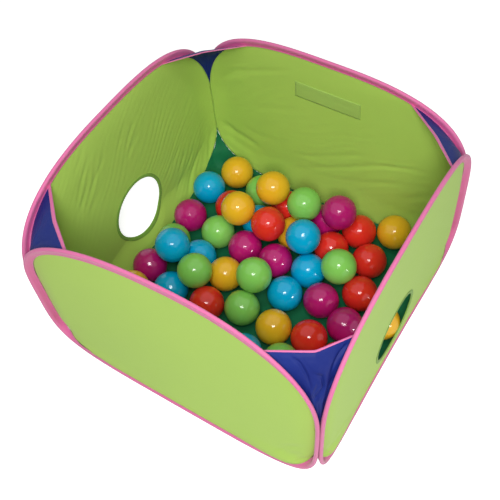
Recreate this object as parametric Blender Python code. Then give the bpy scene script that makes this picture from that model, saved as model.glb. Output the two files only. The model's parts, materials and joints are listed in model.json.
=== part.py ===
# Pop-up pet ball pit: four fabric panels on sprung wire hoops, a cloth floor,
# four corner gussets, and loose plastic balls. Metres, +Z up, front towards -Y.
import math

import bmesh
import bpy
from mathutils import Vector
from mathutils.bvhtree import BVHTree

# Panels: width and height over the binding, and how square the outline is
PANEL_WIDTH = 0.450
PANEL_HEIGHT = 0.306
TOP_ROUNDNESS = 2.72
BOTTOM_ROUNDNESS = 4.78
CLOTH_THICKNESS = 0.0008
LINE_STEPS = 18
FINE_STEPS = 2000
PANEL_RINGS = (0.35, 0.7, 1.0)
SHARP_ANGLE = 50

# Hoop wire and the folded tape that holds it
WIRE_RADIUS = 0.00125
POCKET_RADIUS = 0.0019
BULGE_RADIUS = 0.0029
BINDING_WIDTH = 0.0125
TAPE_THICKNESS = 0.0009
CLOTH_GAP = 0.0003
SEAM_GAP = 0.0004

# Openings in the left and right panels, and the tape round each
HOLE_RADIUS = 0.052
HOLE_HEIGHT = 0.080
HOLE_TAPE_WIDTH = 0.006
HOLE_TAPE_THICKNESS = 0.0005
HOLE_SEGMENTS = 24

# Patch sewn inside the back panel
PATCH_WIDTH = 0.110
PATCH_DEPTH = 0.030
PATCH_HEIGHT = 0.2295
PATCH_THICKNESS = 0.0006
PATCH_GAP = 0.0004

# Corner gussets: where the top edge meets a panel, across from its middle,
# and how far the fold in the middle stands out at each corner
GUSSET_REACH = 0.137
GUSSET_THICKNESS = 0.0005
GUSSET_HEM_WIDTH = 0.003
GUSSET_HEM_THICKNESS = 0.0016
GUSSET_FOLDS = {
    "front_right": 0.026,
    "back_right": 0.004,
    "back_left": 0.006,
    "front_left": 0.004,
}
GUSSET_COLUMNS = 6
TIP_WIDTH = 0.002

# Floor cloth, which lies on the ground and climbs each corner as an ear
FLOOR_THICKNESS = 0.0008
FLOOR_COLUMNS = (0.0, 0.08, 0.28, 0.5, 0.72, 0.92, 1.0)
FLOOR_EDGE = 0.12

# How the sprung hoops stand: shift of each corner's top (across, deep), and
# outward bow of each side's middle (at the bottom, at the top). The power tells
# how soon the bottom's bow is lost on the way up.
CORNER_SHIFTS = {
    "front_right": (0.0025, 0.011),
    "back_right": (-0.002, -0.008),
    "back_left": (0.0005, -0.004),
    "front_left": (0.0, 0.0),
}
SIDE_BOWS = {
    "front": (0.0005, -0.013),
    "right": (-0.005, 0.001),
    "back": (-0.020, -0.0075),
    "left": (-0.005, -0.0015),
}
FOOT_BOW_POWER = 2

# Balls: the gap left under each, the least gap beside it, and how it is let down
BALL_RADIUS = 0.0275
BALL_SEGMENTS = 12
BALL_RINGS = 8
BALL_GAP = 0.0003
BALL_SPACING = 0.0006
WALL_SPACE = 0.010
DROP_STEP = 0.00005
DROP_START = 0.030
EASING_ROUNDS = 400

# Where each ball lies, across and deep, counted in this unit
PLACE_UNIT = 0.001
FLOOR_BALLS = (
    ("yellow", -150, 170), ("green", -90, 155), ("blue", -175, 120), ("magenta", -170, 55),
    ("red", -115, 100), ("red", -35, 140), ("yellow", -5, 110), ("blue", -65, 100),
    ("magenta", 35, 150), ("red", 65, 110), ("red", 95, 160), ("yellow", 135, 180),
    ("red", 130, 115), ("blue", 55, 55), ("magenta", 0, 45), ("magenta", -55, 45),
    ("green", -110, 50), ("green", -165, 0), ("blue", -110, -5), ("magenta", -170, -60),
    ("blue", -115, -80), ("yellow", -55, -15), ("red", -50, -75), ("green", 0, -55),
    ("blue", 45, 0), ("yellow", 60, -60), ("red", 115, -50), ("magenta", 150, -5),
    ("magenta", 100, 15), ("red", 145, 55),
)
UPPER_BALLS = (
    ("yellow", -55, 136), ("green", 3, 135), ("magenta", 60, 146), ("yellow", -86, 78),
    ("red", -30, 78), ("blue", 31, 82), ("green", 102, 66), ("blue", -140, -30),
    ("green", -86, -49), ("green", -1, -13),
)

SIDES = ("front", "right", "back", "left")
CORNERS = ("front_right", "back_right", "back_left", "front_left")
OUTWARD = (Vector((0, -1, 0)), Vector((1, 0, 0)), Vector((0, 1, 0)), Vector((-1, 0, 0)))
ALONG = (Vector((1, 0, 0)), Vector((0, 1, 0)), Vector((-1, 0, 0)), Vector((0, -1, 0)))

# Distance of each panel's plane from the middle. It stands a little outside its
# neighbour's end, so that the two bulges meet side by side at the corner.
PANEL_PLANE = PANEL_WIDTH / 2 - BULGE_RADIUS + (2 * BULGE_RADIUS + SEAM_GAP) / math.sqrt(2)

COLOURS = {
    "lime": (166, 204, 104),
    "pink": (240, 120, 175),
    "navy": (45, 62, 150),
    "dark_green": (24, 122, 80),
    "steel": (150, 150, 155),
    "edge_green": (120, 160, 60),
    "blue": (0, 160, 195),
    "magenta": (168, 30, 105),
    "yellow": (228, 176, 40),
    "red": (220, 45, 35),
    "green": (115, 190, 75),
}


def clear_scene():
    for item in list(bpy.data.objects):
        bpy.data.objects.remove(item, do_unlink=True)


def make_material(name, roughness, metallic=0.0):
    material = bpy.data.materials.new(name)
    material.use_nodes = True
    shader = material.node_tree.nodes["Principled BSDF"]
    linear = [(level / 255) ** 2.2 for level in COLOURS[name]]
    shader.inputs["Base Color"].default_value = (*linear, 1.0)
    shader.inputs["Roughness"].default_value = roughness
    shader.inputs["Metallic"].default_value = metallic
    return material


def make_object(name, bm, material, parent):
    bmesh.ops.recalc_face_normals(bm, faces=bm.faces)
    mesh = bpy.data.meshes.new(name)
    bm.to_mesh(mesh)
    bm.free()
    mesh.materials.append(material)
    mesh.shade_smooth()
    mesh.set_sharp_from_angle(angle=math.radians(SHARP_ANGLE))
    item = bpy.data.objects.new(name, mesh)
    item.parent = parent
    bpy.context.collection.objects.link(item)
    return item


def add_thickness(item, thickness):
    solidify = item.modifiers.new("Thickness", "SOLIDIFY")
    solidify.thickness = thickness
    solidify.offset = 0.0
    return solidify


# Outline of a panel

def outline_point(angle):
    """Point on the wire's line, across and up, at an angle from the +across side."""
    roundness = TOP_ROUNDNESS if math.sin(angle) > 0 else BOTTOM_ROUNDNESS
    half_width = PANEL_WIDTH / 2 - BULGE_RADIUS
    half_height = PANEL_HEIGHT / 2 - BULGE_RADIUS
    across = math.copysign(abs(math.cos(angle)) ** (2 / roundness), math.cos(angle))
    up = math.copysign(abs(math.sin(angle)) ** (2 / roundness), math.sin(angle))
    return Vector((half_width * across, PANEL_HEIGHT / 2 + half_height * up))


def half_line():
    """Points from the bottom middle round the +across side to the top middle.

    Each step takes an equal share of the length and the turning together, so
    that the round corners get more points than the flat stretches.
    """
    count = FINE_STEPS
    fine = [outline_point(math.pi * (i / count - 0.5)) for i in range(count + 1)]
    fine[0].x = 0.0
    fine[-1].x = 0.0
    total = sum((b - a).length for a, b in zip(fine, fine[1:]))
    walked = [0.0]
    for i in range(1, count + 1):
        step = fine[i] - fine[i - 1]
        before = fine[i - 1] - fine[i - 2] if i > 1 else step
        turn = before.angle(step) if before.length and step.length else 0.0
        walked.append(walked[-1] + step.length / total + turn / math.pi)
    points = []
    i = 0
    for k in range(LINE_STEPS + 1):
        target = walked[-1] * k / LINE_STEPS
        while i < count and walked[i] < target:
            i += 1
        points.append(fine[i].copy())
    return points


def full_line(half):
    return half + [Vector((-p.x, p.y)) for p in reversed(half[1:-1])]


def mitres(line):
    """Outward normal at each point of a closed line, lengthened for its corner."""
    result = []
    for i, point in enumerate(line):
        before = (point - line[i - 1]).normalized()
        after = (line[(i + 1) % len(line)] - point).normalized()
        middle = (before + after).normalized()
        outward = Vector((middle.y, -middle.x))
        result.append(outward / outward.dot(Vector((before.y, -before.x))))
    return result


def offset_line(line, distance):
    return [point + mitre * distance for point, mitre in zip(line, mitres(line))]


# Places in the pit

def on_panel(side, across, up, outward=0.0):
    place = ALONG[side] * across + OUTWARD[side] * (PANEL_PLANE + outward)
    return settle(Vector((place.x, place.y, up)))


def settle(point):
    """Move a point of the square pit to where the sprung hoops really hold it."""
    half = PANEL_WIDTH / 2
    height = point.z / PANEL_HEIGHT
    east = (point.x / half + 1) / 2
    north = (point.y / half + 1) / 2
    shares = (east * (1 - north), east * north, (1 - east) * north, (1 - east) * (1 - north))
    moved = point.copy()
    for corner, share in zip(CORNERS, shares):
        across, deep = CORNER_SHIFTS[corner]
        moved.x += across * share * height
        moved.y += deep * share * height
    foot = (1 - height) ** FOOT_BOW_POWER
    bows = [low * foot + high * height for low, high in SIDE_BOWS.values()]
    middle_x = 1 - (point.x / half) ** 2
    middle_y = 1 - (point.y / half) ** 2
    moved.y += middle_x * (bows[2] * north - bows[0] * (1 - north))
    moved.x += middle_y * (bows[1] * east - bows[3] * (1 - east))
    return moved


def corner_row(corner, point, reach):
    """Ends of the level line that joins two neighbouring panels at one height."""
    following = (corner + 1) % 4
    start = ALONG[corner] * point.x + OUTWARD[corner] * PANEL_PLANE
    end = ALONG[following] * -point.x + OUTWARD[following] * PANEL_PLANE
    step = (end - start).normalized() * reach
    lift = Vector((0, 0, point.y))
    return start + step + lift, end - step + lift


def end_reach(slope):
    """How far along its level line a cloth ends, to clear the binding's bulge."""
    return (BULGE_RADIUS + SEAM_GAP) / math.sqrt(1 - slope ** 2 / 2)


def level_rows(points):
    """Each point of a stretch of line, with its cloth's end reach there."""
    rows = []
    for i, point in enumerate(points):
        slopes = []
        for other in points[max(i - 1, 0):i + 2]:
            if other is not point:
                slopes.append(abs((other - point).normalized().x))
        rows.append((point, end_reach(max(slopes))))
    return rows


def cut_line(half, lowest, highest):
    """Part of the half line between two heights, with its ends on the chords."""
    points = []
    for a, b in zip(half, half[1:]):
        for height in (lowest, highest):
            if a.y < height <= b.y:
                points.append(a.lerp(b, (height - a.y) / (b.y - a.y)))
        if lowest < b.y < highest:
            points.append(b)
    points.sort(key=lambda p: p.y)
    return points


def height_at(half, across, upper):
    """Height at which the line is this far across, in its upper or lower part."""
    for a, b in zip(half, half[1:]):
        in_part = (a.y + b.y > PANEL_HEIGHT) == upper
        if in_part and min(a.x, b.x) <= across <= max(a.x, b.x) and a.x != b.x:
            return a.lerp(b, (across - a.x) / (b.x - a.x)).y
    return PANEL_HEIGHT / 2


def tip_across():
    """Where the level line is just wide enough for the narrow tip of a cloth."""
    return PANEL_PLANE - (TIP_WIDTH + 2 * end_reach(0.0)) / math.sqrt(2)


# Building blocks for meshes

def add_loop(bm, places):
    return [bm.verts.new(place) for place in places]


def bridge(bm, first, second, closed=True):
    count = len(first) if closed else len(first) - 1
    for i in range(count):
        k = (i + 1) % len(first)
        bm.faces.new((first[i], first[k], second[k], second[i]))


def fan(bm, loop, centre):
    tip = bm.verts.new(centre)
    for i, vertex in enumerate(loop):
        bm.faces.new((vertex, loop[(i + 1) % len(loop)], tip))


def swept_ring(side, line, profile):
    """Sweep a closed profile (outward in the panel, through the panel) round a line."""
    bm = bmesh.new()
    rings = []
    for point, mitre in zip(line, mitres(line)):
        ring = []
        for in_plane, through in profile:
            place = point + mitre * in_plane
            ring.append(bm.verts.new(on_panel(side, place.x, place.y, through)))
        rings.append(ring)
    for i, ring in enumerate(rings):
        bridge(bm, ring, rings[(i + 1) % len(rings)])
    return bm


# Panels

def panel_cloth(side, line, has_hole):
    bm = bmesh.new()
    edge = offset_line(line, -(POCKET_RADIUS + CLOTH_GAP))
    rim = offset_line(line, -(BINDING_WIDTH - BULGE_RADIUS + CLOTH_THICKNESS))
    middle = Vector((0.0, HOLE_HEIGHT if has_hole else PANEL_HEIGHT / 2))
    turn = math.tau / len(line)
    cut = (HOLE_RADIUS + HOLE_TAPE_THICKNESS + CLOTH_GAP) / math.cos(turn / 2)
    inner = []
    for i in range(len(line)):
        angle = turn * i - math.pi / 2
        inner.append(middle + Vector((math.cos(angle), math.sin(angle))) * cut)
    loops = [edge, rim]
    for share in PANEL_RINGS:
        loops.append([a.lerp(b, share) for a, b in zip(rim, inner)])
    rings = [add_loop(bm, [on_panel(side, p.x, p.y) for p in loop]) for loop in loops]
    for first, second in zip(rings, rings[1:]):
        bridge(bm, first, second)
    if not has_hole:
        fan(bm, rings[-1], on_panel(side, middle.x, middle.y))
    return bm


def binding_profile():
    """Folded tape: a keyhole slot for the wire and the cloth, in a rounded fold."""
    slot = CLOTH_THICKNESS / 2 + CLOTH_GAP
    outside = slot + TAPE_THICKNESS
    leg_end = BULGE_RADIUS - BINDING_WIDTH
    profile = []
    start = math.pi - math.asin(outside / BULGE_RADIUS)
    for i in range(6):
        angle = start * (1 - 2 * i / 5)
        profile.append((BULGE_RADIUS * math.cos(angle), BULGE_RADIUS * math.sin(angle)))
    profile.append((leg_end, -outside))
    profile.append((leg_end, -slot))
    start = math.pi - math.asin(slot / POCKET_RADIUS)
    for i in range(5):
        angle = -start * (1 - 2 * i / 4)
        profile.append((POCKET_RADIUS * math.cos(angle), POCKET_RADIUS * math.sin(angle)))
    profile.append((leg_end, slot))
    profile.append((leg_end, outside))
    return profile


def wire_profile():
    angles = [math.tau * i / 6 for i in range(6)]
    return [(WIRE_RADIUS * math.cos(a), WIRE_RADIUS * math.sin(a)) for a in angles]


def hole_tape(side):
    """Narrow tape folded over the edge of a hole, open outward onto the cloth."""
    slot = CLOTH_THICKNESS / 2 + CLOTH_GAP
    outside = slot + HOLE_TAPE_THICKNESS
    reach = HOLE_TAPE_WIDTH
    profile = [(0.0, -outside), (0.0, outside), (reach, outside), (reach, slot),
               (HOLE_TAPE_THICKNESS, slot), (HOLE_TAPE_THICKNESS, -slot),
               (reach, -slot), (reach, -outside)]
    line = []
    for i in range(HOLE_SEGMENTS):
        angle = math.tau * i / HOLE_SEGMENTS
        line.append(Vector((math.cos(angle), math.sin(angle))) * HOLE_RADIUS)
    line = [point + Vector((0.0, HOLE_HEIGHT)) for point in line]
    return swept_ring(side, line, profile)


def patch():
    bm = bmesh.new()
    inward = CLOTH_THICKNESS / 2 + PATCH_GAP + PATCH_THICKNESS / 2
    rows = []
    for up in (-0.5, 0.5):
        row = []
        for i in range(7):
            across = PATCH_WIDTH * (i / 6 - 0.5)
            row.append(on_panel(2, across, PATCH_HEIGHT + PATCH_DEPTH * up, -inward))
        rows.append(add_loop(bm, row))
    bridge(bm, rows[0], rows[1], closed=False)
    return bm


# Gussets and floor

def gusset(corner, half):
    """Cloth between two panels' upper corners, with a hem along its top edge."""
    fold = GUSSET_FOLDS[CORNERS[corner]]
    lowest = height_at(half, tip_across(), upper=True)
    highest = height_at(half, GUSSET_REACH, upper=True)
    stretch = cut_line(half, lowest, highest - GUSSET_HEM_WIDTH)
    top = cut_line(half, highest - GUSSET_HEM_WIDTH, highest)
    diagonal = (OUTWARD[corner] + OUTWARD[(corner + 1) % 4]).normalized()
    bm = bmesh.new()
    hem = []
    previous = None
    for point, reach in level_rows(stretch + top[1:]):
        start, end = corner_row(corner, point, reach)
        rise = (point.y - lowest) / (highest - lowest)
        row = []
        for i in range(GUSSET_COLUMNS + 1):
            share = i / GUSSET_COLUMNS
            crease = 1 - abs(2 * share - 1)
            row.append(settle(start.lerp(end, share) + diagonal * fold * crease * rise))
        row = add_loop(bm, row)
        if point.y >= highest - GUSSET_HEM_WIDTH - 1e-6:
            hem.extend(row)
        if previous:
            bridge(bm, previous, row, closed=False)
        previous = row
    bm.verts.index_update()
    return bm, [vertex.index for vertex in hem]


def floor_sheet(half):
    """Flat cloth on the ground, with an ear up each corner between the panels."""
    bm = bmesh.new()
    tip = height_at(half, tip_across(), upper=False)
    rows = level_rows([half[0]] + cut_line(half, half[0].y, tip))
    sag = BULGE_RADIUS - FLOOR_THICKNESS / 2
    widest = PANEL_PLANE * math.sqrt(2)
    rim = []
    for corner in range(4):
        previous = None
        for point, reach in rows:
            start, end = corner_row(corner, point, reach)
            drop = Vector((0, 0, sag * (end - start).length / (widest - 2 * rows[0][1])))
            places = [start.lerp(end, share) for share in FLOOR_COLUMNS]
            places = [places[0]] + [p - drop for p in places[1:-1]] + [places[-1]]
            row = add_loop(bm, [settle(p) for p in places])
            if previous:
                bridge(bm, previous, row, closed=False)
            else:
                rim.extend(row)
            previous = row
    ground = FLOOR_THICKNESS / 2
    inner = [Vector((v.co.x * (1 - FLOOR_EDGE), v.co.y * (1 - FLOOR_EDGE), ground)) for v in rim]
    inner = add_loop(bm, inner)
    bridge(bm, rim, inner)
    fan(bm, inner, Vector((0, 0, ground)))
    return bm


# Balls

def spread(spots):
    """Ease the bottom layer's spots apart until no two balls touch."""
    spacing = 2 * BALL_RADIUS + BALL_SPACING
    limit = PANEL_PLANE - BULGE_RADIUS - WALL_SPACE - BALL_RADIUS
    for _ in range(EASING_ROUNDS):
        for i, first in enumerate(spots):
            for second in spots[:i]:
                apart = first - second
                short = spacing - apart.length
                if short > 0:
                    push = apart.normalized() * short / 2
                    first += push
                    second -= push
        for spot in spots:
            spot.x = max(-limit, min(limit, spot.x))
            spot.y = max(-limit, min(limit, spot.y))
    return spots


def ball_mesh():
    bm = bmesh.new()
    bmesh.ops.create_uvsphere(
        bm, u_segments=BALL_SEGMENTS, v_segments=BALL_RINGS, radius=BALL_RADIUS)
    return bm


def placed_tree(corners, faces, place):
    return BVHTree.FromPolygons([corner + place for corner in corners], faces)


def rest_height(spot, placed, floor_tree, corners, faces):
    """Let a ball down at its spot until it touches, then lift it by the gap."""
    high = Vector((spot.x, spot.y, PANEL_HEIGHT))
    height = floor_tree.ray_cast(high, Vector((0, 0, -1)))[0].z + DROP_START
    near = []
    for place in placed:
        plan = (place.xy - spot).length
        if plan < 2 * BALL_RADIUS:
            height = max(height, place.z + math.sqrt(4 * BALL_RADIUS ** 2 - plan ** 2))
            near.append(placed_tree(corners, faces, place))
    near.append(floor_tree)
    while True:
        tree = placed_tree(corners, faces, Vector((spot.x, spot.y, height - DROP_STEP)))
        if any(tree.overlap(other) for other in near):
            break
        height -= DROP_STEP
    return height + BALL_GAP


def add_balls(parent, floor_tree, materials):
    bm = ball_mesh()
    corners = [vertex.co.copy() for vertex in bm.verts]
    faces = [[vertex.index for vertex in face.verts] for face in bm.faces]
    bm.free()
    spots = spread([Vector((x, y)) * PLACE_UNIT for _, x, y in FLOOR_BALLS])
    spots += [Vector((x, y)) * PLACE_UNIT for _, x, y in UPPER_BALLS]
    placed = []
    counts = {}
    for (colour, _, _), spot in zip(FLOOR_BALLS + UPPER_BALLS, spots):
        height = rest_height(spot, placed, floor_tree, corners, faces)
        placed.append(Vector((spot.x, spot.y, height)))
        counts[colour] = counts.get(colour, 0) + 1
        name = f"{colour}_ball_{counts[colour]}"
        item = make_object(name, ball_mesh(), materials[colour], parent)
        item.data.shade_smooth()
        item.location = placed[-1]


def centre_on_origin(parent):
    """Stand the whole part on the ground, over the origin."""
    bpy.context.view_layer.update()
    depsgraph = bpy.context.evaluated_depsgraph_get()
    lowest = Vector((math.inf,) * 3)
    highest = Vector((-math.inf,) * 3)
    for item in parent.children:
        shape = item.evaluated_get(depsgraph).to_mesh()
        for vertex in shape.vertices:
            place = item.matrix_world @ vertex.co
            lowest = Vector(map(min, lowest, place))
            highest = Vector(map(max, highest, place))
    middle = (lowest + highest) / 2
    parent.location = (-middle.x, -middle.y, -lowest.z)
    bpy.context.view_layer.update()


def build():
    clear_scene()
    lime = make_material("lime", 0.75)
    pink = make_material("pink", 0.6)
    navy = make_material("navy", 0.55)
    dark_green = make_material("dark_green", 0.75)
    steel = make_material("steel", 0.35, 1.0)
    edge_green = make_material("edge_green", 0.7)
    plastics = {}
    for colour in ("blue", "magenta", "yellow", "red", "green"):
        plastics[colour] = make_material(colour, 0.25)

    pit = bpy.data.objects.new("ball_pit", None)
    bpy.context.collection.objects.link(pit)
    half = half_line()
    line = full_line(half)

    for side, name in enumerate(SIDES):
        has_hole = name in ("left", "right")
        cloth = make_object(f"{name}_panel", panel_cloth(side, line, has_hole), lime, pit)
        add_thickness(cloth, CLOTH_THICKNESS)
        make_object(f"{name}_hoop", swept_ring(side, line, wire_profile()), steel, pit)
        make_object(f"{name}_binding", swept_ring(side, line, binding_profile()), pink, pit)
        if has_hole:
            make_object(f"{name}_hole_tape", hole_tape(side), edge_green, pit)

    sewn = make_object("sewn_patch", patch(), lime, pit)
    add_thickness(sewn, PATCH_THICKNESS)

    for corner, name in enumerate(CORNERS):
        bm, hem = gusset(corner, half)
        cloth = make_object(f"gusset_{name}", bm, navy, pit)
        thick = cloth.vertex_groups.new(name="hem")
        thick.add(hem, 1.0, "REPLACE")
        solidify = add_thickness(cloth, GUSSET_HEM_THICKNESS)
        solidify.vertex_group = thick.name
        solidify.thickness_vertex_group = GUSSET_THICKNESS / GUSSET_HEM_THICKNESS

    floor = make_object("floor_sheet", floor_sheet(half), dark_green, pit)
    add_thickness(floor, FLOOR_THICKNESS)
    bpy.context.view_layer.update()
    floor_tree = BVHTree.FromObject(floor, bpy.context.evaluated_depsgraph_get())

    add_balls(pit, floor_tree, plastics)
    centre_on_origin(pit)


build()
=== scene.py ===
# Pop-up ball pit for pets: cloth, tapes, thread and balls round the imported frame. Metres, +Z up.
import bisect
import functools
import json
import math
import random

import bmesh
import bpy
from mathutils import Euler, Matrix, Vector, noise


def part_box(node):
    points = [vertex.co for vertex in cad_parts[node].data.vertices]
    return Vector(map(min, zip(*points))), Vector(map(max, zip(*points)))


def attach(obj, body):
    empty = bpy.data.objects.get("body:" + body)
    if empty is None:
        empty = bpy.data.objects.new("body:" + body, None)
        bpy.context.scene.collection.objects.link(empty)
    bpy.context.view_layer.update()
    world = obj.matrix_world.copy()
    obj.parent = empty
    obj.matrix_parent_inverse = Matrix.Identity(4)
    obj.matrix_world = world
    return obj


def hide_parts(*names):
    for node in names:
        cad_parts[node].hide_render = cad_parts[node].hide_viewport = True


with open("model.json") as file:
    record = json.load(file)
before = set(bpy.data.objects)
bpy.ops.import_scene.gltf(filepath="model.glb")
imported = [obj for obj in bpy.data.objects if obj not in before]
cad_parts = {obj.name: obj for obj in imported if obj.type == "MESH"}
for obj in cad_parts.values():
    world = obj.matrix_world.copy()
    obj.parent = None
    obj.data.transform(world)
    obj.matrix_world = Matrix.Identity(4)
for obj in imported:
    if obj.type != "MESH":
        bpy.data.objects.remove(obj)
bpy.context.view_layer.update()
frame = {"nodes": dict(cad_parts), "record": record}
print("frame loaded,", len(frame["nodes"]), "nodes")

# The pit's own form, the same as the frame's: outline of a panel, and how the sprung hoops stand
pit = {
    "width": 0.450,              # a panel over its binding
    "height": 0.306,
    "topRoundness": 2.72,
    "bottomRoundness": 4.78,
    "bulge": 0.0029,             # radius of the binding over the wire
    "seamGap": 0.0004,
    "middle": (-0.00108, 0.00085),
    "cornerShifts": ((0.0025, 0.011), (-0.002, -0.008), (0.0005, -0.004), (0.0, 0.0)),
    "sideBows": ((0.0005, -0.013), (-0.005, 0.001), (-0.020, -0.0075), (-0.005, -0.0015)),
}
sideNames = ("front", "right", "back", "left")
cornerNames = ("front_right", "back_right", "back_left", "front_left")
outward = (Vector((0, -1, 0)), Vector((1, 0, 0)), Vector((0, 1, 0)), Vector((-1, 0, 0)))
along = (Vector((1, 0, 0)), Vector((0, 1, 0)), Vector((-1, 0, 0)), Vector((0, -1, 0)))
diagonals = [(a + b).normalized() for a, b in zip(outward, outward[1:] + outward[:1])]
halfWide = pit["width"] / 2 - pit["bulge"]
halfHigh = pit["height"] / 2 - pit["bulge"]
panelPlane = halfWide + (2 * pit["bulge"] + pit["seamGap"]) / math.sqrt(2)
bodyOfNode = {node: body for body, nodes in frame["record"]["behaviour"]["bodies"].items()
              for node in nodes}


# Small helpers for numbers

def smooth(value, low=0.0, high=1.0):
    share = min(max((value - low) / (high - low), 0.0), 1.0)
    return share * share * (3 - 2 * share)


def noiseAt(*place):
    return noise.noise(Vector(place))


def insideOf(u, v, fastU, fastV):
    # 0 at the edges of a square sheet, 1 soon inside them
    return smooth(min(u, 1 - u) * fastU) * smooth(min(v, 1 - v) * fastV)


def wirePoint(angle):
    roundness = pit["topRoundness"] if math.sin(angle) > 0 else pit["bottomRoundness"]
    x = math.copysign(abs(math.cos(angle)) ** (2 / roundness), math.cos(angle))
    y = math.copysign(abs(math.sin(angle)) ** (2 / roundness), math.sin(angle))
    return Vector((halfWide * x, pit["height"] / 2 + halfHigh * y))


def traceWire(steps=6000):
    # the wire's line from the bottom middle round past +across, with the length walked so far
    points = [wirePoint(math.tau * (i / steps - 0.25)) for i in range(steps + 1)]
    points[0].x = points[-1].x = 0.0
    walked = [0.0]
    for a, b in zip(points, points[1:]):
        walked.append(walked[-1] + (b - a).length)
    return points, walked


wireTrace, wireWalked = traceWire()
wireLength = wireWalked[-1]


@functools.lru_cache(maxsize=None)
def wireAt(share):
    # point and outward normal on the wire's line at this share of its length
    wanted = (share % 1.0) * wireLength
    low = min(bisect.bisect_right(wireWalked, wanted) - 1, len(wireWalked) - 2)
    high = low + 1
    part = (wanted - wireWalked[low]) / max(wireWalked[high] - wireWalked[low], 1e-12)
    point = wireTrace[low].lerp(wireTrace[high], part)
    last = len(wireTrace) - 1
    before = wireTrace[max(low - 12, 0)] if low > 12 else wireTrace[last - 12 + low]
    after = wireTrace[low + 13] if low + 13 < last else wireTrace[low + 13 - last]
    step = (after - before).normalized()
    return point, Vector((step.y, -step.x))


def settle(point):
    # a point of the square pit goes to where the sprung hoops really hold it
    half = pit["width"] / 2
    height = point.z / pit["height"]
    east = (point.x / half + 1) / 2
    north = (point.y / half + 1) / 2
    shares = (east * (1 - north), east * north, (1 - east) * north, (1 - east) * (1 - north))
    x, y = point.x, point.y
    for (across, deep), share in zip(pit["cornerShifts"], shares):
        x += across * share * height
        y += deep * share * height
    bows = [low * (1 - height) ** 2 + high * height for low, high in pit["sideBows"]]
    y += (1 - (point.x / half) ** 2) * (bows[2] * north - bows[0] * (1 - north))
    x += (1 - (point.y / half) ** 2) * (bows[1] * east - bows[3] * (1 - east))
    return Vector((x + pit["middle"][0], y + pit["middle"][1], point.z))


def squareSpot(side, across, up, out=0.0):
    place = along[side] * across + outward[side] * (panelPlane + out)
    return Vector((place.x, place.y, up))


def onPanel(side, across, up, out=0.0):
    return settle(squareSpot(side, across, up, out))


def wireShareAt(wanted, upper):
    # share of the wire's length where it is this far across, on its upper or lower part
    low, high = (0.25, 0.5) if upper else (0.0, 0.25)
    for _ in range(40):
        half = (low + high) / 2
        inside = wireAt(half)[0].x > wanted
        if inside == upper:
            low = half
        else:
            high = half
    return low


# The tape's casing: along the open rim it stands in the panel's plane. Down the corners another
# cloth is sewn to its foot, so the foot turns in and the wire stands outward. Along the floor it
# stands nearly upright under the cloth at the front and right, and lies in at the back and left.
casing = {
    "foot": 0.0098,              # from the wire to the seam at the foot
    "rimTuck": 0.0072,           # the panel's edge inside the tape at the rim
    "lapDeep": 0.0052,           # where the cloth hangs over the foot: its edge
    "lapOut": 0.0019,
    # which feet it hangs over, and how far along the floor it starts to end, by shares of the ear's
    "laps": (1, 1, 0, 0),
    "lapEnds": ((0.40, 0.78), (0.78, 0.45), (0.5, 0.5), (0.5, 0.5)), "lapFade": 0.35,
    "floorTilts": (13.0, 14.0, 70.0, 74.0),
    "cornerTilts": (-6.0, -4.0, 76.0, 70.0),
    # from where to where the floor's tilt becomes the corner's, by shares of the ear's
    "turnShares": (0.35, 0.72),
    "pastHem": 0.02, "turnBack": 1.5,    # how far past the gusset the tape turns back, how fast
    # where the floor pulls the cloth in past the tape's foot
    "runIn": (0.0, 0.0, 0.0, 0.010), "runWide": 0.190, "runUp": 0.0029, "runSoft": 0.008,
    # hem ends of each gusset, across from the middles of its two panels
    "gussetReach": ((0.140, 0.144), (0.140, 0.131), (0.141, 0.126), (0.137, 0.129)),
    "gussetTips": (0.238, 0.248, 0.272, 0.248),    # shares of the wire where they come to tips
    "earTip": 0.2191,            # across, where the ears do
    "hemAcross": 0.141,          # across, where the tape's turn at the gussets starts
}
tipLow = wireShareAt(casing["earTip"], False)
hemShare = wireShareAt(casing["hemAcross"], True)


def fromFloor(share):
    # share of the wire's length from the bottom middle, whichever way is shorter
    return min(share % 1.0, 1 - share % 1.0)


def meetingTilt(share):
    # the tilt at which the feet of two neighbouring casings touch
    recess = panelPlane - wireAt(share)[0].x
    return 45 + math.degrees(math.asin(recess / (casing["foot"] * math.sqrt(2))))


@functools.lru_cache(maxsize=None)
def caseTilt(side, share):
    half = fromFloor(share)
    tipHigh = casing["gussetTips"][side if share % 1.0 < 0.5 else side - 1]
    if half < tipLow:
        tilt, corner = casing["floorTilts"][side], casing["cornerTilts"][side]
        first, last = [share * tipLow for share in casing["turnShares"]]
        tilt += (corner - tilt) * smooth(half, first, last)
        tilt += (meetingTilt(tipLow) - tilt) * smooth(half, last, tipLow)
    elif half < tipHigh:
        tilt = meetingTilt(half)
    else:
        rise = min((half - tipHigh) / (hemShare + casing["pastHem"] - tipHigh), 1.0)
        tilt = meetingTilt(tipHigh) * (1 - rise) ** casing["turnBack"]
    return math.radians(tilt)


def caseSpot(side, share, deep, through):
    # deep runs from the wire to the foot, through is towards the outside: across, up and out
    point, normal = wireAt(share)
    tilt = caseTilt(side, share)
    flat = point - normal * (deep * math.cos(tilt) + through * math.sin(tilt))
    return flat.x, flat.y, through * math.cos(tilt) - deep * math.sin(tilt)


def onCase(side, share, deep, through):
    return onPanel(side, *caseSpot(side, share, deep, through))


def footSpot(side, share):
    return onCase(side, share, casing["foot"], 0.0)


def pulledIn(side, share, across, up, out):
    # the cloth's lower edge, drawn in over the floor cloth from the tape's foot
    pull = casing["runIn"][side] * max(0.0, 1 - (across / casing["runWide"]) ** 2)
    pull *= fromFloor(share) < tipLow
    drop = max(up - casing["runUp"], 0.0) * min(pull / casing["runSoft"], 1.0)
    return across, up - drop, out - pull


# Helpers for meshes

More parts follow.
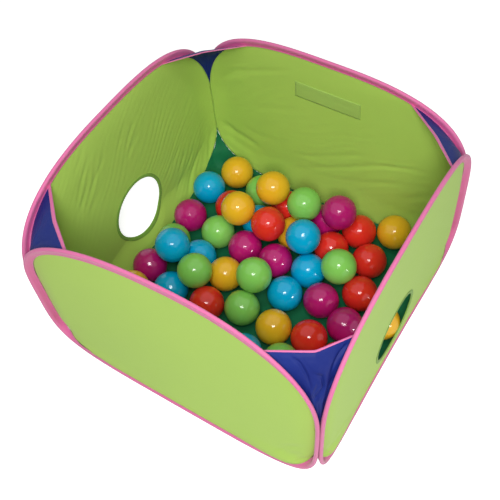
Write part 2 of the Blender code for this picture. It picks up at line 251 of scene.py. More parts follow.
def gridSheet(columns, rows, place, flat, closed=False):
    # a flat grid from 0 to 1 each way, then each point goes to its place on the piece
    bm = bmesh.new()
    bmesh.ops.create_grid(bm, x_segments=columns, y_segments=rows, size=0.5)
    bm.verts.index_update()
    shares = [(vert.co.x + 0.5, vert.co.y + 0.5) for vert in bm.verts]
    measures = [flat(u, v) for u, v in shares]
    uvLayer = bm.loops.layers.uv.new("flat")
    for face in bm.faces:
        for loop in face.loops:
            loop[uvLayer].uv = measures[loop.vert.index]
    for vert, (u, v) in zip(bm.verts, shares):
        vert.co = place(u, v)
    if closed:
        bmesh.ops.remove_doubles(bm, verts=bm.verts, dist=1e-6)
    return bm


def facing(bm, point, direction):
    # turns every face over if the one nearest this point looks away from the direction
    nearest = min(bm.faces, key=lambda face: (face.calc_center_median() - point).length)
    nearest.normal_update()
    if nearest.normal.dot(direction) < 0:
        bmesh.ops.reverse_faces(bm, faces=bm.faces)


def addObject(name, data):
    item = bpy.data.objects.new(name, data)
    bpy.context.scene.collection.objects.link(item)
    return item


def makePiece(name, bm, material, body="root"):
    mesh = bpy.data.meshes.new(name)
    bm.normal_update()
    bm.to_mesh(mesh)
    bm.free()
    mesh.materials.append(material)
    mesh.shade_smooth()
    piece = addObject(name, mesh)
    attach(piece, body)
    return piece


def thicken(piece, thickness, offset=0.0):
    solid = piece.modifiers.new("Thickness", "SOLIDIFY")
    solid.thickness = thickness
    solid.offset = offset
    solid.use_even_offset = True
    return piece


# Helpers for materials

def linear(colour):
    return [((level / 255 + 0.055) / 1.055) ** 2.4 if level > 10 else level / 3294.6
            for level in colour] + [1.0]


class NodeTree:
    # adds nodes to a material or a group, and joins them by name
    def __init__(self, tree):
        self.tree = tree

    def fill(self, node, values):
        for socket, value in values.items():
            if isinstance(value, bpy.types.NodeSocket):
                self.tree.links.new(value, node.inputs[socket])
            else:
                node.inputs[socket].default_value = value
        return node

    def add(self, kind, values=None, **settings):
        node = self.tree.nodes.new("ShaderNode" + kind)
        for name, value in settings.items():
            setattr(node, name, value)
        return self.fill(node, values or {})

    def math(self, operation, first, second=0.0, third=0.5):
        return self.add("Math", {0: first, 1: second, 2: third}, operation=operation).outputs[0]

    def mix(self, share, first, second):
        return self.add("Mix", {0: share, 6: first, 7: second}, data_type="RGBA").outputs[2]

    def mapped(self, value, before, after, **settings):
        values = dict(zip(("From Min", "From Max", "To Min", "To Max"), (*before, *after)))
        return self.add("MapRange", {"Value": value, **values}, **settings).outputs[0]

    def bump(self, height, strength, distance=1.0):
        values = {"Height": height, "Strength": strength, "Distance": distance}
        return self.add("Bump", values).outputs[0]

    def mottle(self, place, scale, contrast):
        values = {"Place": place, "Scale": scale, "Contrast": contrast}
        return self.add("Group", values, node_tree=mottleGroup).outputs["Tone"]


def makeGroup(name, inputs, outputs):
    group = bpy.data.node_groups.new(name, "ShaderNodeTree")
    for label, kind, value in inputs:
        socket = group.interface.new_socket(label, in_out="INPUT", socket_type="NodeSocket" + kind)
        if value is not None:
            socket.default_value = value
    for label, kind in outputs:
        group.interface.new_socket(label, in_out="OUTPUT", socket_type="NodeSocket" + kind)
    start, end = group.nodes.new("NodeGroupInput"), group.nodes.new("NodeGroupOutput")
    return group, NodeTree(group), start.outputs, end


def plainWeave():
    # threads over and under each other, from the cloth's flat measure in metres
    group, nodes, given, end = makeGroup(
        "plainWeave",
        [("Flat", "Vector", None), ("Threads", "Float", 2600.0), ("Unevenness", "Float", 0.25)],
        [("Height", "Float"), ("Thread", "Float")])
    parts = nodes.add("SeparateXYZ", {0: given["Flat"]})
    waves = []
    for axis in (0, 1):
        turns = nodes.math("MULTIPLY", parts.outputs[axis], given["Threads"])
        waves.append(nodes.math("SINE", nodes.math("MULTIPLY", turns, math.pi)))
    crossing = nodes.math("MULTIPLY", waves[0], waves[1])
    slubs = nodes.add("TexNoise", {"Vector": given["Flat"], "Scale": 900.0, "Detail": 3.0})
    rough = nodes.math("MULTIPLY", slubs.outputs[0], given["Unevenness"])
    nodes.fill(end, {"Height": nodes.math("ADD", nodes.math("MULTIPLY", crossing, 0.5), rough),
                     "Thread": nodes.math("MULTIPLY_ADD", crossing, 0.5)})
    return group


def softMottle():
    # slow uneven patches, as dyed cloth and moulded plastic have
    group, nodes, given, end = makeGroup(
        "softMottle",
        [("Place", "Vector", None), ("Scale", "Float", 9.0), ("Contrast", "Float", 0.5)],
        [("Tone", "Float")])
    broad = nodes.add("TexNoise", {"Vector": given["Place"], "Scale": given["Scale"],
                                   "Detail": 4.0, "Roughness": 0.55})
    centred = nodes.math("SUBTRACT", broad.outputs[0], 0.5)
    spread = nodes.math("MULTIPLY", centred, given["Contrast"])
    clamp = nodes.add("Clamp", {0: nodes.math("ADD", spread, 0.5)})
    nodes.fill(end, {"Tone": clamp.outputs[0]})
    return group


def smallCreases():
    # soft crumples of thin cloth, drawn out one way
    group, nodes, given, end = makeGroup(
        "smallCreases",
        [("Flat", "Vector", None), ("Scale", "Float", 30.0), ("Stretch", "Vector", (1.0, 1.0, 1.0)),
         ("Turn", "Float", 0.0)],
        [("Height", "Float")])
    turned = nodes.add("VectorRotate", {"Vector": given["Flat"], "Angle": given["Turn"]},
                       rotation_type="Z_AXIS")
    drawn = nodes.add("VectorMath", {0: turned.outputs[0], 1: given["Stretch"]},
                      operation="MULTIPLY")
    first = nodes.add("TexNoise", {"Vector": drawn.outputs[0], "Scale": given["Scale"],
                                   "Detail": 3.0, "Roughness": 0.5, "Distortion": 0.6})
    ridge = nodes.math("ABSOLUTE", nodes.math("SUBTRACT", first.outputs[0], 0.5))
    nodes.fill(end, {"Height": nodes.math("SUBTRACT", 0.5, ridge)})
    return group


weaveGroup, mottleGroup, creaseGroup = plainWeave(), softMottle(), smallCreases()


def newMaterial(name):
    material = bpy.data.materials.new(name)
    material.use_nodes = True
    nodes = NodeTree(material.node_tree)
    return material, nodes, material.node_tree.nodes["Principled BSDF"]


# Tape folded over the wire and the cloth's edge, sewn through near its inner edge
bindingLook = {
    "stations": 620,
    "across": 0.034,             # the tape's full width, laid flat
    "tape": 0.00035,
    # section from the tape's turned-in edge over the wire: inward of the wire (mm), through (mm)
    "section": ((-6.2, 0.62), (-8.0, 0.60), (-9.1, 0.66), (-9.55, 0.95), (-9.35, 1.28),
                (-8.8, 1.36), (-8.1, 1.18), (-7.5, 1.02), (-6.8, 1.14), (-5.6, 1.32), (-4.2, 1.52),
                (-3.0, 1.84), (-1.9, 2.28), (-0.8, 2.66), (0.4, 2.82), (1.4, 2.50), (2.2, 1.85),
                (2.7, 0.98)),
    "stitch": 0.0036,            # from one stitch to the next
    "stitchRow": 0.0076,         # the row's place, from the wire
    "puckers": (45, 160),        # slow and quick gathers of the tape, to a metre
}


def clothMaterial(name, look):
    # woven cloth: two near tones, weave and small creases in the bump, a little sheen
    material, nodes, shader = newMaterial(name)
    flat = nodes.add("UVMap", uv_map="flat").outputs[0]
    place = nodes.add("TexCoord").outputs["Object"]
    weave = nodes.add("Group", {"Flat": flat, "Threads": look["threads"]}, node_tree=weaveGroup)
    mottle = nodes.mottle(place, look["mottleScale"], look["mottle"])
    creases = nodes.add("Group", {"Flat": flat, "Scale": look["creaseScale"],
                                  "Stretch": look["creaseStretch"], "Turn": look["creaseTurn"]},
                        node_tree=creaseGroup)
    tone = nodes.mix(mottle, linear(look["dark"]), linear(look["light"]))
    thread = nodes.math("MULTIPLY_ADD", weave.outputs["Thread"], 0.5)
    if "band" in look:
        # the tape sinks between the wire and its folded edge; painted shade darkens a strip there
        # on each leg, stronger on the leg inside the pit
        wide = bindingLook["across"]
        across = nodes.add("SeparateXYZ", {0: flat}).outputs[1]
        fromWire = nodes.math("ABSOLUTE", nodes.math("SUBTRACT", across, wide / 2))
        fromPaintedShade = nodes.math("ABSOLUTE", nodes.math("SUBTRACT", fromWire, wide * 0.26))
        paintedShadeMask = nodes.mapped(fromPaintedShade, (0.0016, 0.0042), (1.0, 0.0), interpolation_type="SMOOTHSTEP")
        leg = nodes.mapped(across, (wide * 0.45, wide * 0.55), look["bandShares"])
        depth = nodes.math("MULTIPLY", paintedShadeMask, leg)
        # depth is the share of painted shade laid over the tape's tone
        tone = nodes.mix(depth, tone, linear(look["band"]))
    shaded = nodes.math("MULTIPLY", thread, look["threadShade"])
    height = nodes.math("MULTIPLY", creases.outputs["Height"], look["creaseHeight"])
    threads = nodes.math("MULTIPLY", weave.outputs["Height"], look["weaveHeight"])
    nodes.fill(shader, {
        "Base Color": nodes.mix(shaded, tone, linear(look["shade"])),
        "Normal": nodes.bump(nodes.math("ADD", height, threads), look["bump"]),
        "Roughness": nodes.math("MULTIPLY_ADD", mottle, 0.12, look["roughness"]),
        "Sheen Weight": look["sheen"], "Sheen Roughness": 0.5,
        "Specular IOR Level": look["specular"],
    })
    return material


plainCloth = {"threads": 2600.0, "threadShade": 0.35, "mottle": 1.2, "creaseTurn": 0.0,
              "creaseStretch": (1.0, 1.0, 1.0), "weaveHeight": 0.00006, "bump": 0.4,
              "sheen": 0.08, "specular": 0.3}
narrowTape = {**plainCloth, "threads": 2000.0, "mottleScale": 40.0, "creaseScale": 120.0,
              "creaseStretch": (1.0, 0.35, 1.0), "creaseHeight": 0.0004, "weaveHeight": 0.00008}
clothLooks = {
    "limeCloth": {**plainCloth, "light": (182, 214, 98), "dark": (172, 206, 90),
                  "shade": (150, 188, 74), "mottleScale": 7.0, "creaseScale": 26.0,
                  "creaseStretch": (1.0, 2.2, 1.0), "creaseTurn": 0.6, "creaseHeight": 0.0009,
                  "bump": 0.35, "roughness": 0.62},
    # the pink tape's darkest colour and its two shares (outside leg, inside leg) are painted shade
    # for the groove along the tape
    "pinkTape": {**narrowTape, "light": (219, 124, 168), "dark": (211, 106, 154),
                 "shade": (196, 80, 134), "band": (214, 70, 140), "bandShares": (0.30, 0.75),
                 "roughness": 0.5, "sheen": 0.15, "specular": 0.4},
    "navyCloth": {**plainCloth, "light": (30, 52, 132), "dark": (19, 33, 104),
                  "shade": (13, 20, 80), "threadShade": 0.3, "mottleScale": 14.0, "mottle": 1.4,
                  "creaseScale": 34.0, "creaseTurn": 0.3, "creaseHeight": 0.0022,
                  "weaveHeight": 0.00005, "bump": 0.45, "roughness": 0.45, "sheen": 0.0,
                  "specular": 0.22},
    "floorCloth": {**plainCloth, "light": (22, 122, 76), "dark": (12, 98, 62),
                   "shade": (8, 74, 48), "threads": 2400.0, "mottleScale": 12.0, "mottle": 1.3,
                   "creaseScale": 30.0, "creaseStretch": (1.0, 1.6, 1.0), "creaseTurn": 0.9,
                   "creaseHeight": 0.0018, "roughness": 0.55, "sheen": 0.04},
    "greenTape": {**narrowTape, "light": (138, 180, 76), "dark": (122, 164, 64),
                  "shade": (98, 138, 48), "roughness": 0.6},
    "patchCloth": {**plainCloth, "light": (172, 204, 102), "dark": (162, 194, 94),
                   "shade": (142, 176, 78), "threads": 1800.0, "threadShade": 0.4,
                   "mottleScale": 20.0, "creaseScale": 60.0, "creaseHeight": 0.0005,
                   "weaveHeight": 0.00008, "roughness": 0.6, "sheen": 0.05},
}
cloths = {name: clothMaterial(name, look) for name, look in clothLooks.items()}


def threadMaterial(name, colour):
    # sewing thread: twisted, so light and dark run along it in fine bands; the darker bands are
    # painted shade in the twist's grooves, which the bump also carries
    material, nodes, shader = newMaterial(name)
    place = nodes.add("TexCoord").outputs["Object"]
    twist = nodes.add("TexWave", {"Vector": place, "Scale": 900.0, "Distortion": 2.0},
                      bands_direction="DIAGONAL")
    # the darker tone is painted shade for the twist's grooves
    dark = linear([level * 0.72 for level in colour])
    nodes.fill(shader, {"Base Color": nodes.mix(twist.outputs["Fac"], dark, linear(colour)),
                        "Normal": nodes.bump(twist.outputs["Fac"], 0.3, 0.0001),
                        "Roughness": 0.5})
    return material


def plasticMaterial(name, colour, deep):
    # blown plastic: faint cloudy tone, slow waviness, small scuffs in the gloss
    material, nodes, shader = newMaterial(name)
    place = nodes.add("TexCoord").outputs["Object"]
    tone = nodes.mix(nodes.mottle(place, 28.0, 1.1), linear(deep), linear(colour))
    wave = nodes.add("TexNoise", {"Vector": place, "Scale": 70.0, "Detail": 1.0})
    fine = nodes.add("TexNoise", {"Vector": place, "Scale": 900.0, "Detail": 2.0})
    height = nodes.math("ADD", nodes.math("MULTIPLY", wave.outputs[0], 0.00006),
                        nodes.math("MULTIPLY", fine.outputs[0], 0.000006))
    scuffs = nodes.add("TexNoise", {"Vector": place, "Scale": 160.0, "Detail": 5.0,
                                    "Roughness": 0.7})
    nodes.fill(shader, {"Base Color": tone, "Normal": nodes.bump(height, 0.5),
                        "Roughness": nodes.mapped(scuffs.outputs[0], (0.45, 0.75), (0.1, 0.2)),
                        "Specular IOR Level": 0.5})
    return material


ballColours = {
    "blue": ((0, 170, 214), (0, 150, 200)),
    "magenta": ((184, 24, 112), (164, 16, 98)),
    "yellow": ((236, 182, 40), (224, 168, 34)),
    "red": ((228, 50, 38), (212, 38, 30)),
    "green": ((134, 200, 94), (120, 188, 84)),
}
plastics = {colour: plasticMaterial(colour + "Plastic", *tones)
            for colour, tones in ballColours.items()}


def steelMaterial():
    # drawn spring wire with a thin dark oxide in patches
    material, nodes, shader = newMaterial("springWire")
    place = nodes.add("TexCoord").outputs["Object"]
    mottle = nodes.mottle(place, 120.0, 1.5)
    colour = nodes.mix(mottle, linear((120, 118, 116)), linear((168, 168, 172)))
    nodes.fill(shader, {"Base Color": colour, "Metallic": 1.0,
                        "Roughness": nodes.math("MULTIPLY_ADD", mottle, 0.25, 0.22)})
    return material


pinkThread = threadMaterial("pinkThread", (250, 130, 182))
greenThread = threadMaterial("greenThread", (132, 172, 74))
springWire = steelMaterial()
for side in sideNames:
    frame["nodes"][side + "_hoop"].data.materials.clear()
    frame["nodes"][side + "_hoop"].data.materials.append(springWire)
print("materials made")


# Folds in the panels' cloth, in millimetres across and up each panel

# each fold: how wide, how high towards the outside, then the points of the line that it follows
panelFolds = {
    "front": [
        (7, -2.0, (205, 100), (176, 62), (158, 18)),
        (6, 1.7, (214, 80), (192, 44), (176, 14)),
    ],
    "right": [
        (9, 0.9, (-190, 60), (-152, 44), (-120, 16)),
        (16, 0.5, (60, 262), (122, 198), (170, 120)),
    ],
    "back": [
        (5.5, 1.1, (-186, 158), (-145, 149), (-100, 135), (-25, 95), (60, 51)),
        (6, 0.9, (-150, 120), (-117, 103), (-75, 86), (-25, 62)),
        (6, 0.8, (-80, 148), (-45, 132), (0, 108), (75, 73)),
        (6.5, 1.0, (50, 266), (120, 235), (165, 212), (216, 163)),
        (9, -0.9, (140, 212), (180, 190), (216, 168)),
        (8, 0.4, (40, 190), (110, 160), (160, 146)),
        (9, 1.9, (120, 58), (140, 62), (185, 70), (222, 90)),
        (8, -0.9, (140, 30), (180, 38), (216, 56)),
        (9, 0.7, (-205, 120), (-170, 100), (-120, 60)),
        (8, 0.5, (80, 100), (130, 88), (175, 96)),
    ],
    "left": [
        (4.5, 0.6, (50, 267), (68, 250), (87, 234), (104, 216)),
        (4.5, 0.45, (60, 283), (76, 268), (98, 250)),
        (5, 0.5, (24, 240), (60, 216), (80, 200), (98, 184)),
        (4.5, 0.55, (70, 226), (88, 207), (103, 194), (118, 180)),
        (5, 0.45, (50, 196), (80, 176), (104, 157)),
        (4.5, 0.5, (-26, 256), (-2, 231), (12, 213)),
        (4.5, 0.5, (-42, 244), (-20, 222), (-6, 206)),
        (6, 0.5, (-50, 220), (-20, 200), (10, 184)),
        (4.5, 1.2, (-182, 59), (-150, 38), (-118, 18), (-92, 3)),
        (4.5, 0.9, (-166, 75), (-136, 54), (-108, 37), (-74, 18)),
        (4.5, 0.6, (-132, 112), (-96, 90), (-66, 72)),
        (4.5, 0.6, (-145, 90), (-115, 68), (-86, 50)),
        (6, 0.5, (-174, 178), (-148, 157)),
        (5.5, 1.2, (-211, 74), (-191, 38), (-173, 2)),
    ],
}
# fields of parallel ripples: middle and reach of the field, wave length, turn of the crests
panelRipples = {
    "front": [
        {"middle": (-40, 150), "reach": (160, 110), "length": 34, "turn": 38, "height": 0.08},
    ],
    "right": [
        {"middle": (0, 200), "reach": (170, 90), "length": 30, "turn": -30, "height": 0.10},
    ],
    "back": [
        {"middle": (-60, 110), "reach": (120, 70), "length": 16, "turn": -25, "height": 0.30},
        {"middle": (150, 190), "reach": (65, 60), "length": 16, "turn": -33, "height": 0.28},
    ],
    "left": [
        {"middle": (40, 225), "reach": (120, 70), "length": 11, "turn": -45, "height": 0.24},
        {"middle": (-140, 70), "reach": (85, 75), "length": 11, "turn": -36, "height": 0.34},
        {"middle": (110, 150), "reach": (60, 90), "length": 13, "turn": -50, "height": 0.26},
        {"middle": (-80, 160), "reach": (110, 70), "length": 13, "turn": -40, "height": 0.20},
    ],
}


def besideLine(line, x, y):
    # share of the way along a line of points, and how far off it
    lengths = [math.dist(a, b) for a, b in zip(line, line[1:])]
    best, before = (math.inf, 0.0), 0.0
    for (x0, y0), (x1, y1), length in zip(line, line[1:], lengths):
        ux, uy = (x1 - x0) / length, (y1 - y0) / length
        run = (x - x0) * ux + (y - y0) * uy
        held = min(max(run, 0.0), length)
        away = math.hypot(x - x0 - held * ux, y - y0 - held * uy)
        if away < best[0]:
            best = (away, before + held)
        before += length
    return best[1] / before, best[0]


def foldsAt(folds, x, y):
    # height of these folds at a spot, all in millimetres
    total = 0.0
    for width, height, *line in folds:
        reach = 3 * width
        (lowX, highX), (lowY, highY) = [(min(row), max(row)) for row in zip(*line)]
        if lowX - reach < x < highX + reach and lowY - reach < y < highY + reach:
            share, off = besideLine(line, x, y)
            ratio = (off / width) ** 2
            fade = smooth(share, -0.02, 0.3) * (1 - smooth(share, 0.65, 1.02))
            total += height * fade * (1 - 0.6 * ratio) * math.exp(-ratio)
    return total


def foldHeight(side, across, up):
    # how far the cloth stands outward of its panel's plane, in metres
    x, y = across * 1000, up * 1000
    total = foldsAt(panelFolds[side], x, y)
    for ripple in panelRipples[side]:
        dx, dy = x - ripple["middle"][0], y - ripple["middle"][1]
        reach = (dx / ripple["reach"][0]) ** 2 + (dy / ripple["reach"][1]) ** 2
        if reach < 5:
            turn = math.radians(ripple["turn"])
            off = -dx * math.sin(turn) + dy * math.cos(turn)
            run = dx * math.cos(turn) + dy * math.sin(turn)
            drift = noiseAt(off / 60, run / 90, ripple["length"]) * 1.3
            strength = 0.55 + 0.9 * noiseAt(off / 22, run / 70, 3.0 + ripple["turn"])
            wave = math.sin(math.tau * (off / ripple["length"] + drift))
            total += ripple["height"] * strength * wave * math.exp(-reach)
    slack = noiseAt(x / 95, y / 80, len(side) * 3.7) * 0.55
    return (total + slack) / 1000


panelLook = {
    "thickness": 0.0004,
    "columns": 152, "rows": 104,
    "holeColumns": 400, "holeRows": 62,
    "holeRadius": 0.0525, "holeHeight": 0.080,
    # how far from a turned foot the cloth comes back to its panel's plane
    "cornerBend": 0.034, "floorBends": (0.045, 0.045, 0.070, 0.085),
    # the left hole keeps the cloth beside it flat: from and to how far, and what bend is left
    "flatBeside": (0.045, 0.073), "bendLeft": 0.3,
    "hangOver": 0.0045,          # where the cloth hangs over the tape's foot, from its edge
    "foldsFrom": 0.010,          # folds fade towards the edge within this
}
lowerCorner = wireWalked[len(wireTrace) // 8] / wireLength
upperCorner = wireWalked[len(wireTrace) * 3 // 8] / wireLength


@functools.lru_cache(maxsize=None)
def panelEdge(side, share):
    # the cloth's edge: across and up, how far out, how far out over the foot, and its bend back
    half = fromFloor(share)
    turned = smooth(caseTilt(side, share), 0.0, math.radians(40))
    start = casing["lapEnds"][side][1 if share % 1.0 < 0.5 else 0]
    lap = casing["laps"][side] * (1 - smooth(half / tipLow, start, start + casing["lapFade"]))
    lifted, slid = smooth(lap, 0.0, 0.35), smooth(lap, 0.3, 1.0)
    deep = casing["rimTuck"] + (casing["foot"] - casing["rimTuck"]) * max(turned, lifted)
    deep += (casing["lapDeep"] - deep) * slid
    across, up, out = pulledIn(side, share, *caseSpot(side, share, deep, casing["lapOut"] * lifted))
    over = caseSpot(side, share, casing["foot"], casing["lapOut"])[2]
    bend = panelLook["floorBends"][side]
    bend += (panelLook["cornerBend"] - bend) * smooth(half, tipLow * 0.5, tipLow)
    return Vector((across, up)), out, over, slid, bend


def clothAt(side, share, reach, middle):
    # a point of the cloth between its middle and its edge: across, up and out
    edge, edgeOut, over, lap, bend = panelEdge(side, share)
    spot = middle.lerp(edge, reach)
    gap = (edge - spot).length
    out = edgeOut * max(0.0, 1 - gap / bend) ** 2
    if sideNames[side] == "left":
        fromHole = math.hypot(spot.x, spot.y - panelLook["holeHeight"])
        bendLeft = panelLook["bendLeft"]
        out *= bendLeft + (1 - bendLeft) * smooth(fromHole, *panelLook["flatBeside"])
    if lap:
        hung = edgeOut + (over - edgeOut) * smooth(gap, 0.0, panelLook["hangOver"])
        out += (hung * (1 - smooth(gap, 0.004, bend)) - out) * lap
    out += foldHeight(sideNames[side], spot.x, spot.y) * smooth(gap, 0.0, panelLook["foldsFrom"])
    return spot.x, spot.y, out


def panelGrid(side, columns, rows, spot, closed=False):
    return gridSheet(columns, rows, lambda u, v: onPanel(side, *spot(u, v)),
                     lambda u, v: spot(u, v)[:2], closed)


def plainPanel(side):
    middle = Vector((0.0, pit["height"] / 2))

    @functools.lru_cache(maxsize=None)
    def spot(u, v):
        # rings of the square grid become rings of the panel's outline
        x, y = 2 * u - 1, 2 * v - 1
        ring = max(abs(x), abs(y))
        if ring == 0:
            return clothAt(side, 0.0, 0.0, middle)
        x, y = x / ring, y / ring
        if abs(x) <= -y:
            share = x * lowerCorner
        elif abs(x) <= y:
            share = 0.5 - x * (0.5 - upperCorner)
        else:
            rise = (y + 1) / 2
            share = math.copysign(lowerCorner + rise * (upperCorner - lowerCorner), x)
        return clothAt(side, share, ring, middle)

    return panelGrid(side, panelLook["columns"], panelLook["rows"], spot)


def holedPanel(side):
    middle = Vector((0.0, panelLook["holeHeight"]))

    @functools.lru_cache(maxsize=None)
    def spot(u, v):
        hole = panelLook["holeRadius"] / (panelEdge(side, u)[0] - middle).length
        return clothAt(side, u, hole + (1 - hole) * v, middle)

    return panelGrid(side, panelLook["holeColumns"], panelLook["holeRows"], spot, closed=True)


# Binding: tape folded over the wire and the cloth's edge, sewn through near its inner edge

def binding(side):
    # the flat measure across starts at the outside leg
    half = bindingLook["section"]
    section = list(half) + [(2.88, 0.0)] + [(a, -b) for a, b in reversed(half)]
    last = len(section) - 1

    def pucker(u, sign):
        # the tape gathers a little between stitches and round the corners
        run = u * wireLength
        slow, quick = bindingLook["puckers"]
        return (noiseAt(run * slow, sign * 3.1, side * 7.7),
                noiseAt(run * quick, sign * 5.3, side * 2.9))

    def place(u, v):
        index = v * last
        low = min(int(index), last - 1)
        part = index - low
        deep = section[low][0] * (1 - part) + section[low + 1][0] * part
        through = section[low][1] * (1 - part) + section[low + 1][1] * part
        slow, quick = pucker(u, 1 if v < 0.5 else -1)
        leg = smooth(-deep, 1.0, 8.0)
        turned = smooth(abs(caseTilt(side, u)), 0.0, math.radians(40))
        inner = turned if v > 0.5 else 0.0
        deep += leg * (0.25 * slow + 0.15 * quick) + 0.6 * inner * smooth(-deep, 6.0, 9.0)
        through *= 1 + leg * (0.10 * slow + 0.16 * quick - 0.6 * inner) + (1 - leg) * 0.05 * slow
        return onCase(side, u, -deep / 1000, through / 1000)

    def flat(u, v):
        return u * wireLength, v * bindingLook["across"]

    bm = gridSheet(bindingLook["stations"], last, place, flat, closed=True)
    top = onPanel(side, 0.0, pit["height"], 0.0)
    facing(bm, top, Vector((0, 0, 1)))
    return bm


def stitchRow(bm, places, size):
    # each stitch is a short drop of thread lying along its row: its place, a spot ahead, one above
    for place, ahead, above in places:
        run, out = (ahead - place).normalized(), (above - place).normalized()
        cross = run.cross(out).normalized()
        turn = Matrix((run * size[0], cross * size[1], out * size[2])).transposed().to_4x4()
        turn.translation = place
        bmesh.ops.create_icosphere(bm, subdivisions=1, radius=1.0, matrix=turn)


def bindingStitches(side):
    bm = bmesh.new()
    count = int(wireLength / bindingLook["stitch"])
    for sign in (1, -1):
        places = []
        for i in range(count):
            turned = smooth(abs(caseTilt(side, i / count)), 0.0, math.radians(40))
            through = sign * 0.00104 * (1 - 0.55 * turned * (sign < 0))
            row = bindingLook["stitchRow"]
            places.append((onCase(side, i / count, row, through),
                           onCase(side, (i + 0.3) / count, row, through),
                           onCase(side, i / count, row, through + sign * 0.001)))
        stitchRow(bm, places, (0.00135, 0.00022, 0.00018))
    return bm


# Tape round each side hole

holeLook = {"radius": 0.052, "tape": 0.00035, "stations": 160, "stitch": 0.0036, "steps": 1600}


def roundHole(side, share, out):
    # a spot of the cloth beside the hole, on the way to this share of the wire
    middle = Vector((0.0, panelLook["holeHeight"]))
    reach = (panelEdge(side, share)[0] - middle).length
    return clothAt(side, share, (holeLook["radius"] + out) / reach, middle)


def holeTape(side):
    # section from the outside leg's edge over the cut edge to the inside leg's edge, in mm
    half = ((6.0, 0.78), (4.6, 0.86), (3.0, 0.84), (1.4, 0.92), (0.5, 0.80), (0.06, 0.42))
    section = half + ((0.0, 0.0),) + tuple((out, -through) for out, through in reversed(half))
    last = len(section) - 1

    def place(u, v):
        out, through = section[round(v * last)]
        turn = u * math.tau
        ripple = noiseAt(math.cos(turn) * 4, math.sin(turn) * 4, side * 5.0)
        across, up, cloth = roundHole(side, u, out / 1000 * (1 + 0.06 * ripple))
        return onPanel(side, across, up, cloth + through / 1000 * (1 + 0.15 * ripple))

    def flat(u, v):
        return u * math.tau * holeLook["radius"], v * 0.014

    bm = gridSheet(holeLook["stations"], last, place, flat, closed=True)
    edge = onPanel(side, 0.0, panelLook["holeHeight"] - holeLook["radius"], 0.0)
    facing(bm, edge, Vector((0, 0, 1)))
    return bm


def holeStitches(side):
    bm = bmesh.new()
    for sign in (1, -1):
        places = []
        walked, last = 0.0, None
        for i in range(holeLook["steps"]):
            across, up, cloth = roundHole(side, i / holeLook["steps"], 0.0047)
            place = onPanel(side, across, up, cloth + sign * 0.0009)
            if last is not None:
                walked += (place - last).length
                if walked >= holeLook["stitch"]:
                    places.append((place, place * 2 - last,
                                   onPanel(side, across, up, cloth + sign * 0.0019)))
                    walked = 0.0
            last = place
        stitchRow(bm, places, (0.0013, 0.0002, 0.00016))
    return bm


for side, name in enumerate(sideNames):
    holed = name in ("left", "right")
    cloth = makePiece(name + "Panel", holedPanel(side) if holed else plainPanel(side),
                      cloths["limeCloth"])
    thicken(cloth, panelLook["thickness"])
    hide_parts(name + "_panel")
    tape = thicken(makePiece(name + "Binding", binding(side), cloths["pinkTape"]),
                   bindingLook["tape"], -1.0)
    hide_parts(name + "_binding")
    thread = makePiece(name + "Stitches", bindingStitches(side), pinkThread)
    extras = [tape, thread]
    if holed:
        edging = makePiece(name + "HoleTape", holeTape(side), cloths["greenTape"])
        thicken(edging, holeLook["tape"], -1.0)
        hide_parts(name + "_hole_tape")
        extras += [edging, makePiece(name + "HoleStitches", holeStitches(side), greenThread)]
print("panels, bindings and hole tapes made")


# Patch sewn inside the back panel

patchLook = {
    "width": 0.110, "depth": 0.030, "up": 0.2295,
    "thickness": 0.0004, "off": 0.00065,
    "seamIn": 0.0018, "stitch": 0.0030, "threadUp": 0.00045,
}


def patchSheet():
    def spot(u, v):
        return (u - 0.5) * patchLook["width"], patchLook["up"] + (v - 0.5) * patchLook["depth"]

    def place(u, v):
        across, up = spot(u, v)
        edge = insideOf(u, v, 20, 8)
        puff = 0.0004 * edge + 0.00025 * edge * noiseAt(u * 9, v * 4, 1.0)
        return onPanel(2, across, up, foldHeight("back", across, up) - patchLook["off"] - puff)

    return gridSheet(66, 20, place, spot)


def patchStitches():
    bm = bmesh.new()
    wide = patchLook["width"] / 2 - patchLook["seamIn"]
    deep = patchLook["depth"] / 2 - patchLook["seamIn"]
    corners = [Vector(at) for at in ((-wide, -deep), (wide, -deep), (wide, deep), (-wide, deep))]
    places = []
    for a, b in zip(corners, corners[1:] + corners[:1]):
        count = int((b - a).length / patchLook["stitch"])
        for i in range(count):
            spot = a.lerp(b, (i + 0.5) / count) + Vector((0, patchLook["up"]))
            ahead = spot + (b - a).normalized() * 0.001
            out = foldHeight("back", spot.x, spot.y) - patchLook["off"] - patchLook["threadUp"]
            places.append((onPanel(2, spot.x, spot.y, out), onPanel(2, ahead.x, ahead.y, out),
                           onPanel(2, spot.x, spot.y, out - 0.001)))
    stitchRow(bm, places, (0.0011, 0.0002, 0.00016))
    return bm


patch = makePiece("sewnPatch", patchSheet(), cloths["patchCloth"])
thicken(patch, patchLook["thickness"])
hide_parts("sewn_patch")
patchThread = makePiece("patchStitches", patchStitches(), greenThread)
print("patch made")


# Gussets between the panels at the top of each corner

gussetLook = {
    "thickness": 0.0003,
    "columns": 72, "rows": 84,
    "seam": 0.0092,                            # from the wire, inside the tape's foot
    "hems": (0.0020, 0.0048, 0.0032, 0.0050), "hemTape": 0.0003,
    "folds": (0.0125, 0.004, 0.006, 0.004),     # how far the top edge's fold stands outward
    "foldShares": (0.55, 0.5, 0.5, 0.5), "foldSoft": 0.002,
    "width": 0.115, "height": 0.150,           # laid out, for the creases below
    "pucker": 0.0008,
}
